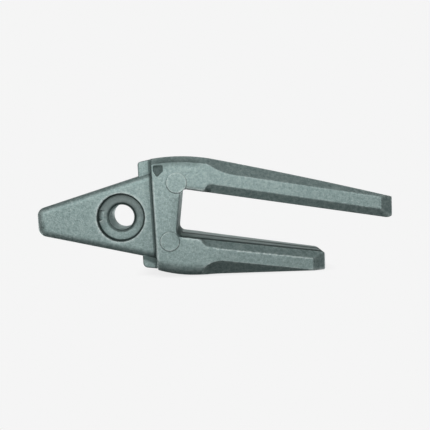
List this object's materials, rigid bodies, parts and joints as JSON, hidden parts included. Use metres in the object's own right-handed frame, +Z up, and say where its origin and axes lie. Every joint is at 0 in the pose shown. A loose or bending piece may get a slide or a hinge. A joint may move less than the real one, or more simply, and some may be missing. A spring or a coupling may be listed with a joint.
{
  "type": "bucket tooth adapter",
  "caption": "Weld-on strap adapter that straddles a digging bucket's lip plate and carries a replaceable tooth on its wedge nose, locked by a cross pin.",
  "frame": {"origin": "middle of the pin bore, on the mid-plane between the two sides of the nose", "axes": "+X back from the nose to the straps, +Y along the pin bore away from the retainer seat, +Z up, the lower strap's flat outer face lying level"},
  "size_m": [0.3756, 0.1127, 0.123],
  "materials": {
    "casting": "grey-green primer over a sand-cast surface"
  },
  "bodies": {
    "root": {"adapter": "casting"}
  },
  "joints": []
}
